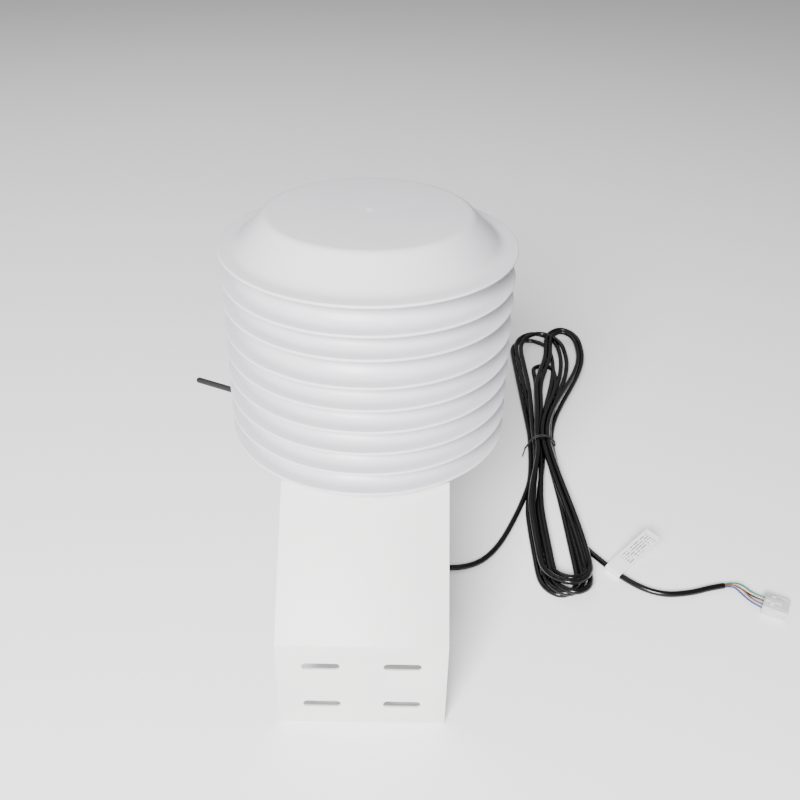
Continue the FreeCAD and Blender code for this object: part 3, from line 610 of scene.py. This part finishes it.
rodShape = {"radius": 0.0025, "pitch": 0.0008, "circle": 0.062, "nutCorner": 0.00462,
            "washerBore": 0.0026, "washerRadius": 0.005, "sleeveBore": 0.00275, "sleeve": 0.005,
            "angles": (90, 210, 330)}


def onRodCircle(degrees):
    angle = math.radians(degrees)
    return rodShape["circle"] * math.cos(angle), axisY + rodShape["circle"] * math.sin(angle)


def threaded(length, radius, pitch):
    # Crests and roots one after the other, with a chamfered start
    stations = [(radius * 0.5, 0), (radius * 0.8, 0)]
    height = pitch * 0.5
    while height < length - pitch:
        stations += [(radius, height), (radius, height + pitch * 0.2),
                     (radius * 0.87, height + pitch * 0.55), (radius * 0.87, height + pitch * 0.7)]
        height += pitch
    return stations + [(radius, length), (radius * 0.5, length)]


def makeNut(radius, tall, bore, place, aim=(0, 0, 0)):
    # Six flats with the corners turned down at both ends
    nut = prism(6, radius, tall, (0, 0, 0), (0, 0, 0))
    turning = turnRings(softened([(bore, -tall * 0.6, 0), (radius * 0.84, -tall * 0.6, 0),
                                  (radius * 0.88, -tall / 2, 0), (radius * 1.02, -tall * 0.36, 0),
                                  (radius * 1.02, tall * 0.36, 0), (radius * 0.88, tall / 2, 0),
                                  (radius * 0.84, tall * 0.6, 0), (bore, tall * 0.6, 0)]), 48, (0, 0, 0))
    useModifier(nut, 'BOOLEAN', object=turning, operation='INTERSECT', solver='EXACT')
    bpy.data.objects.remove(turning)
    cutWith(nut, [prism(32, bore, tall * 3, (0, 0, 0), (0, 0, 0))])
    useModifier(nut, 'BEVEL', width=radius * 0.03, segments=2, limit_method='ANGLE', angle_limit=0.6)
    nut.location, nut.rotation_euler = place, aim
    return nut


def makeRodEnds():
    rodLow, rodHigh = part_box("tie_rods")
    nutLow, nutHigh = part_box("rod_nuts")
    washLow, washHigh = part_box("rod_washers")
    threadTall = washLow.z - rodLow.z + 0.006
    rods, nuts, washers = [], [], []
    for degrees in rodShape["angles"]:
        x, y = onRodCircle(degrees)
        ends = threaded(threadTall, rodShape["radius"], rodShape["pitch"])[:-1]
        plain = [(rodShape["radius"], rodHigh.z - rodLow.z - 0.0004),
                 (rodShape["radius"] * 0.85, rodHigh.z - rodLow.z)]
        rods.append(turnRings(ends + plain, 28, (x, y, rodLow.z)))
        middle = (nutLow.z + nutHigh.z) / 2
        nuts.append(makeNut(rodShape["nutCorner"], nutHigh.z - nutLow.z, rodShape["radius"],
                            (x, y, middle)))
        bore, wide, tall = rodShape["washerBore"], rodShape["washerRadius"], washHigh.z - washLow.z
        washer = softened([(bore, 0, 0), (wide, 0, 0.0003), (wide, tall, 0.0003),
                           (bore, tall, 0), (bore, 0, 0)])
        washers.append(turnRings(washer, 40, (x, y, washLow.z), closed=True))
    keepPiece(joinAll(rods), "tieRods", "zinc_steel", ["tie_rods"])
    keepPiece(joinAll(nuts), "rodNuts", "zinc_steel", ["rod_nuts"])
    keepPiece(joinAll(washers), "rodWashers", "zinc_steel", ["rod_washers"])


def makeSleeves():
    # Spacer tubes between the plates and under the carrier, with eased ends
    levels = [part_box(f"louver_plate_{number}") for number in range(1, 9)]
    tubes, feet = [], []
    radius, bore = rodShape["sleeve"], rodShape["sleeveBore"]
    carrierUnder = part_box("carrier_plate")[0].z
    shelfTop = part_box("bracket")[1].z
    for degrees in rodShape["angles"]:
        x, y = onRodCircle(degrees)
        spans = [(lower[1].z, upper[1].z - 0.002) for upper, lower in zip(levels, levels[1:])]
        for (low, high), made in [*((span, tubes) for span in spans), ((shelfTop, carrierUnder), feet)]:
            tall = high - low
            tube = softened([(bore, 0, 0), (radius, 0, 0.0004), (radius, tall, 0.0004),
                             (bore, tall, 0), (bore, 0, 0)])
            made.append(turnRings(tube, 32, (x, y, low), closed=True))
    slots = {part["node"]: part["material_slot"] for part in frame["record"]["subparts"]}
    keepPiece(joinAll(tubes), "spacerSleeves", slots["spacer_sleeves"], ["spacer_sleeves"])
    keepPiece(joinAll(feet), "baseSleeves", slots["base_sleeves"], ["base_sleeves"])


makeRodEnds()
makeSleeves()
print("rods and sleeves made")


antenna = {"angle": 154, "coupling": 0.0046, "whip": 0.0026, "neck": 0.0040, "flutes": 24}


def antennaAim():
    angle = math.radians(antenna["angle"])
    heading = Vector((math.cos(angle), math.sin(angle), 0))
    return heading, heading.to_track_quat('Z', 'Y').to_euler()


def makeAntenna():
    heading, aim = antennaAim()
    low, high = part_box("antenna_whip")
    height = (low.z + high.z) / 2
    axis = Vector((0, axisY, height))
    start, end = 0.0511, 0.176
    slim, neck = antenna["whip"], antenna["neck"]
    long = end - start
    # Boot with a shallow step, then the rod and its domed tip
    stations = [(0.001, 0, 0), (neck, 0, 0.0004), (neck, 0.0022, 0.0006), (neck * 0.88, 0.0034, 0.0006),
                (slim * 1.12, 0.0078, 0.0015), (slim, 0.0140, 0.001), (slim, long - slim * 1.5, 0.002)]
    rod = softened(stations + [(slim, long - slim * 0.9, 0), (slim * 0.5, long, 0)])
    for step in range(1, 7):
        angle = math.radians(15 * step)
        rod.insert(-1, (slim * math.cos(angle), long - slim + slim * math.sin(angle)))
    rod = [spot for spot in rod[:-1]] + [(slim * 0.06, long)]
    whip = turnRings([r for r in rod if r[1] <= long + 1e-6], 48, axis + heading * start, aim)
    keepPiece(whip, "antennaWhip", "black_rubber", ["antenna_whip"], body="antenna")

    grip = 0.0117
    wide = antenna["coupling"]
    bore = 0.0033
    barrel = softened([(bore, 0, 0), (wide * 0.92, 0, 0.0003), (wide, 0.0012, 0.0003),
                       (wide, grip - 0.0014, 0.0003), (wide * 0.9, grip, 0.0003), (bore, grip, 0)])
    coupling = turnRings(barrel, antenna["flutes"] * 2, axis + heading * 0.0393, aim)
    # Every other long face sinks to make the grip's flutes
    bpy.ops.object.mode_set(mode='EDIT')
    bpy.ops.mesh.select_all(action='DESELECT')
    bpy.ops.mesh.select_mode(type='FACE')
    bpy.ops.object.mode_set(mode='OBJECT')
    sides = [face for face in coupling.data.polygons if len(face.vertices) == 4]
    largest = max(face.area for face in sides)
    long = [face for face in sides if face.area > 0.4 * largest]
    for face in long:
        around = math.atan2(face.center.y, face.center.x) % math.tau
        face.select = int(around / math.tau * antenna["flutes"] * 2) % 2 == 0
    bpy.ops.object.mode_set(mode='EDIT')
    bpy.ops.mesh.inset(thickness=0.0001, use_individual=True, depth=-0.00025)
    bpy.ops.object.mode_set(mode='OBJECT')
    keepPiece(coupling, "antennaCoupling", "black_nylon", ["antenna_coupling"], body="antenna", smooth=25)


makeAntenna()
print("antenna made")


gland = {"x": 0.014, "hex": 0.009, "ribs": 18}


def makeGland():
    low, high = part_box("gland_dome_nut")
    tall = high.z - low.z
    bore = cable["diameter"] / 2
    wide = gland["hex"] - 0.001
    stations = softened([(bore, 0.0012, 0), (bore + 0.0004, 0, 0.0003), (bore + 0.0016, 0, 0.0006),
                         (wide * 0.80, 0.0022, 0.0016), (wide, 0.0052, 0.0012),
                         (wide, tall - 0.0004, 0.0003),
                         (wide * 0.97, tall, 0.0002), (bore + 0.002, tall, 0)])
    dome = turnRings(stations, gland["ribs"] * 4, (0, 0, 0))
    # Grip flutes are cut round the dome's skirt
    cutters = []
    for number in range(gland["ribs"]):
        angle = math.tau * number / gland["ribs"]
        spot = (math.cos(angle) * (wide + 0.0004), math.sin(angle) * (wide + 0.0004), tall * 0.72)
        cutters.append(prism(12, 0.0007, tall * 0.52, spot, (0, 0, 0)))
    cutWith(dome, [joinAll(cutters)])
    dome.location = (gland["x"], axisY, low.z)
    keepPiece(dome, "glandDomeNut", "black_nylon", ["gland_dome_nut"], smooth=30)


makeGland()
print("gland made")


tie = {"wire": 0.0013, "turns": 2, "advance": 0.0022,
       "girth": [(0.1699, -0.0378), (0.1696, -0.0330), (0.1730, -0.0278), (0.1782, -0.0240),
                 (0.1845, -0.0234), (0.1912, -0.0241), (0.1962, -0.0282), (0.1997, -0.0336),
                 (0.1995, -0.0378), (0.1960, -0.0392), (0.1845, -0.0393), (0.1730, -0.0392)]}


def makeTie():
    # Wound round the hank, then its ends are twisted at the left side and one is left long
    points = []
    count = len(tie["girth"])
    for step in range(count * tie["turns"] + 1):
        x, z = tie["girth"][step % count]
        wobble = 0.0006 * math.sin(step * 1.7)
        points.append((x, waist["y"] - 0.001 + step / count * tie["advance"] + wobble, z))
    twist = []
    for step in range(9):
        angle = step * 1.25
        twist.append((0.1690 - step * 0.0005, 0.3705 - step * 0.0009 + 0.0007 * math.cos(angle),
                      -0.0370 + 0.0007 * math.sin(angle)))
    tail = [(0.1645, 0.3600, -0.0376), (0.1628, 0.3560, -0.0385), (0.1616, 0.3520, -0.0390)]
    parts = [smoothCord("tieLoop", points, tie["wire"]), smoothCord("tieEnd", twist + tail, tie["wire"]),
             smoothCord("tieStub", [(x, 2 * (0.3705 - n * 0.0009) - y, -0.0740 - z)
                                    for n, (x, y, z) in enumerate(twist)], tie["wire"])]
    startFresh()
    for part in parts:
        part.data.resolution_u = 4
        part.select_set(True)
    bpy.context.view_layer.objects.active = parts[0]
    bpy.ops.object.convert(target='MESH')
    keepPiece(joinAll(parts), "twistTie", "black_nylon", ["twist_tie"])


makeTie()
print("tie made")


label = {"width": 0.017, "length": 0.054, "tilt": 21, "curl": 0.0016, "paper": 0.0003,
         "lineGap": 0.0027, "lineTall": 0.0010, "printed": (0.012, 0.045), "printHalf": 0.0066,
         "ink": "#5c5e62"}


def labelFrame():
    start, end = Vector(tailRoute[1]), Vector(tailRoute[2])
    heading = (end - start).normalized()
    return (start + end) / 2, heading, Vector((0, 0, 1)).cross(heading)


def makeLabel():
    # One strip: from the tab's free end to the cable, once round it and back to where it meets itself
    middle, heading, sideways = labelFrame()
    tilt = math.radians(label["tilt"])
    radius = cable["diameter"] / 2 + label["paper"]
    path = []
    for step in range(12, 0, -1):
        share = step / 12
        reach = label["length"] * share
        droop = label["curl"] * share * share
        path.append((reach * math.cos(tilt) - radius * math.sin(tilt) + droop * math.sin(tilt),
                     reach * math.sin(tilt) + radius * math.cos(tilt) - droop * math.cos(tilt)))
    for step in range(33):
        angle = math.pi / 2 + tilt + math.tau * step / 32
        path.append((radius * math.cos(angle), radius * math.sin(angle)))
    startFresh()
    bpy.ops.mesh.primitive_plane_add(size=1)
    strip = bpy.context.object
    half = heading * label["width"] / 2

    def onLabel(spot):
        return middle + sideways * spot[0] + Vector((0, 0, spot[1]))

    ends = [onLabel(path[0]) - half, onLabel(path[0]) + half, onLabel(path[1]) - half,
            onLabel(path[1]) + half]
    for point, place in zip(strip.data.vertices, ends):
        point.co = place
    bpy.ops.object.mode_set(mode='EDIT')
    bpy.ops.mesh.select_all(action='DESELECT')
    bpy.ops.mesh.select_mode(type='VERT')
    bpy.ops.object.mode_set(mode='OBJECT')
    for number in (2, 3):
        strip.data.vertices[number].select = True
    bpy.ops.object.mode_set(mode='EDIT')
    for before, after in zip(path[1:], path[2:]):
        move = onLabel(after) - onLabel(before)
        bpy.ops.mesh.extrude_region_move(TRANSFORM_OT_translate={"value": move})
    bpy.ops.object.mode_set(mode='OBJECT')
    useModifier(strip, 'SOLIDIFY', thickness=label["paper"], offset=0)
    keepPiece(strip, "flagLabel", "paper_white", ["cord_label"], smooth=40)


def printLabelLines():
    # Rows of grey bars stand for small print; they say nothing
    material = finishes["paper_white"]
    middle, heading, sideways = labelFrame()
    tree = material.node_tree
    shader = tree.nodes["Principled BSDF"]
    plain = shader.inputs["Base Color"].links[0].from_socket
    place = addNode(material, 'ShaderNodeTexCoord').outputs["Object"]
    centred = addNode(material, 'ShaderNodeVectorMath', {"operation": 'SUBTRACT'}, in0=place, in1=middle)
    across = addNode(material, 'ShaderNodeVectorMath', {"operation": 'DOT_PRODUCT'},
                     in0=centred.outputs["Vector"], in1=heading).outputs["Value"]
    along = addNode(material, 'ShaderNodeVectorMath', {"operation": 'DOT_PRODUCT'},
                    in0=centred.outputs["Vector"], in1=sideways).outputs["Value"]
    rows = addNode(material, 'ShaderNodeMath', {"operation": 'MULTIPLY'}, in0=across,
                   in1=1 / label["lineGap"])
    inRow = addNode(material, 'ShaderNodeMath', {"operation": 'FRACT'}, in0=rows.outputs[0])
    bar = addNode(material, 'ShaderNodeMath', {"operation": 'LESS_THAN'}, in0=inRow.outputs[0],
                  in1=label["lineTall"] / label["lineGap"])
    rowNumber = addNode(material, 'ShaderNodeMath', {"operation": 'FLOOR'}, in0=rows.outputs[0])
    stretch = addNode(material, 'ShaderNodeCombineXYZ', X=along, Y=rowNumber.outputs[0])
    scaled = addNode(material, 'ShaderNodeVectorMath', {"operation": 'MULTIPLY'}, in0=stretch.outputs[0],
                     in1=(420, 7.3, 1))
    words = addNode(material, 'ShaderNodeTexNoise', Vector=scaled.outputs[0], Scale=1.0, Detail=1.0)
    word = addNode(material, 'ShaderNodeMath', {"operation": 'GREATER_THAN'},
                   in0=words.outputs["Fac"], in1=0.47)
    first, last = label["printed"]
    after = addNode(material, 'ShaderNodeMath', {"operation": 'GREATER_THAN'}, in0=along, in1=first)
    before = addNode(material, 'ShaderNodeMath', {"operation": 'LESS_THAN'}, in0=along, in1=last)
    half = addNode(material, 'ShaderNodeMath', {"operation": 'ABSOLUTE'}, in0=across)
    inside = addNode(material, 'ShaderNodeMath', {"operation": 'LESS_THAN'}, in0=half.outputs[0],
                     in1=label["printHalf"])
    ink = bar
    for mask in (word, after, before, inside):
        ink = addNode(material, 'ShaderNodeMath', {"operation": 'MULTIPLY'}, in0=ink.outputs[0],
                      in1=mask.outputs[0])
    mixed = addNode(material, 'ShaderNodeMix', {"data_type": 'RGBA'})
    link(material, ink.outputs[0], mixed.inputs[0])
    link(material, plain, mixed.inputs[6])
    mixed.inputs[7].default_value = linearColour(label["ink"])
    link(material, mixed.outputs[2], shader.inputs["Base Color"])


makeLabel()
printLabelLines()
print("label made")


plugShape = {"edge": 0.0005, "cavity": 0.0021, "wireHole": 0.0011, "groove": 0.0012, "grooveAt": 0.0072,
             "latchHalf": 0.0032, "latchGap": 0.0003, "ear": 0.0015}


def blockOnPlug(low, high, edge=0.0):
    # A block between two corners in the plug's own directions, with eased edges
    startFresh()
    middle = [(a + b) / 2 for a, b in zip(low, high)]
    bpy.ops.mesh.primitive_cube_add(size=1, location=onPlug(*middle),
                                    rotation=(0, 0, math.radians(plug["turn"])))
    block = bpy.context.object
    block.scale = [b - a for a, b in zip(low, high)]
    bpy.ops.object.transform_apply(scale=True)
    if edge:
        useModifier(block, 'BEVEL', width=edge, segments=3, limit_method='ANGLE')
    return block


def makePlug():
    long, wide, tall = plug["length"], plug["width"], plug["height"]
    edge = plugShape["edge"]
    body = blockOnPlug((0, -wide / 2, 0), (long, wide / 2, tall), edge)
    groove = plugShape["groove"]
    cutters = []
    for number in range(4):
        y = (number - 1.5) * plug["pitch"]
        half = plugShape["cavity"] / 2
        cutters.append(blockOnPlug((long - 0.008, y - half, tall / 2 - half),
                                   (long + 0.002, y + half, tall / 2 + half)))
        hole = prism(24, plugShape["wireHole"], 0.012, onPlug(0.002, y, tall / 2),
                     (0, math.pi / 2, math.radians(plug["turn"])))
        cutters.append(hole)
    # Shallow channels along the top, and one along each side
    for side in (-1, 1):
        y = side * plugShape["grooveAt"]
        cutters.append(blockOnPlug((0.011, y - groove / 2, tall - 0.0008),
                                   (long + 0.001, y + groove / 2, tall + 0.001)))
        low, high = sorted((side * (wide / 2 - 0.0008), side * (wide / 2 + 0.0002)))
        cutters.append(blockOnPlug((0.0125, low, 0.003), (long + 0.001, high, 0.006)))
    cutWith(body, [joinAll(cutters)])
    shoulder = blockOnPlug((long / 6, -wide / 2 - 0.001, 0.0015),
                           (long / 2, wide / 2 + 0.001, tall - 0.0015), 0.0004)
    backRim = blockOnPlug((0.0008, -wide / 2 - 0.0004, 0.0004),
                          (0.0022, wide / 2 + 0.0004, tall + 0.0003), 0.0003)
    parts = [shoulder, backRim]
    latchHalf, gap, ear = plugShape["latchHalf"], plugShape["latchGap"], plugShape["ear"]
    for side in (-1, 1):
        near, far = sorted((side * (latchHalf + gap), side * (latchHalf + gap + ear)))
        parts.append(blockOnPlug((0.005, near, tall - 0.0003), (0.009, far, tall + 0.003), 0.0004))
    for number in range(3):
        x = 0.0135 + number * 0.0022
        for side in (-1, 1):
            near, far = sorted((side * 0.0082, side * 0.0097))
            parts.append(blockOnPlug((x, near, tall - 0.0003), (x + 0.0009, far, tall + 0.0003), 0.0002))
    keepPiece(joinAll([body, *parts]), "plugHousing", "plug_white", ["plug_housing"], smooth=30)


def makeLatch():
    tall = plug["height"]
    half = plugShape["latchHalf"]
    lever = blockOnPlug((0.001, -half, tall + 0.001), (0.015, half, tall + 0.0022), 0.0003)
    parts = [blockOnPlug((0.0135, -half, tall + 0.0004), (0.0150, half, tall + 0.0016), 0.0003)]
    for number in range(4):
        x = 0.0014 + number * 0.0011
        parts.append(blockOnPlug((x, -0.0028, tall + 0.0021), (x + 0.0006, 0.0028, tall + 0.0025),
                                 0.0002))
    pin = prism(24, 0.0008, 0.0100, onPlug(0.007, 0, tall + 0.0016),
                (math.pi / 2, 0, math.radians(plug["turn"])))
    useModifier(pin, 'BEVEL', width=0.0002, segments=2, limit_method='ANGLE')
    keepPiece(joinAll([lever, pin, *parts]), "plugLatch", "plug_white", ["plug_latch"],
              body="latch", smooth=30)


makePlug()
makeLatch()
print("plug made")


def areaLight(name, place, target, size, power, colour):
    bpy.ops.object.light_add(type='AREA', location=place)
    lamp = bpy.context.object
    lamp.name = name
    lamp.data.shape = 'RECTANGLE'
    lamp.data.size, lamp.data.size_y = size
    lamp.data.energy = power
    lamp.data.color = linearColour(colour)[:3]
    lamp.rotation_euler = (Vector(target) - Vector(place)).to_track_quat('-Z', 'Y').to_euler()
    return lamp


studio = {"floor": "#ffffff", "air": "#ffffff", "airPower": 0.32}
startFresh()
bpy.ops.mesh.primitive_plane_add(size=12, location=(0, 0, floorZ - 0.0002))
floor = bpy.context.object
floor.name = "studioFloor"
floorFinish, floorShader = startMaterial("paleFloor", Roughness=0.9)
floorShader.inputs["Base Color"].default_value = linearColour(studio["floor"])
floorShader.inputs["Specular IOR Level"].default_value = 0.1
floor.data.materials.append(floorFinish)

world = bpy.data.worlds.new("studioAir")
world.use_nodes = True
world.node_tree.nodes["Background"].inputs["Color"].default_value = linearColour(studio["air"])
world.node_tree.nodes["Background"].inputs["Strength"].default_value = studio["airPower"]
bpy.context.scene.world = world

middle = (0, 0.15, 0.12)
areaLight("frontWindow", (-0.40, -1.65, 1.30), middle, (0.9, 0.7), 165, "#ffffff")
areaLight("topPanel", (-0.6, 1.2, 2.2), middle, (2.0, 2.0), 18, "#ffffff")
print("stage set")

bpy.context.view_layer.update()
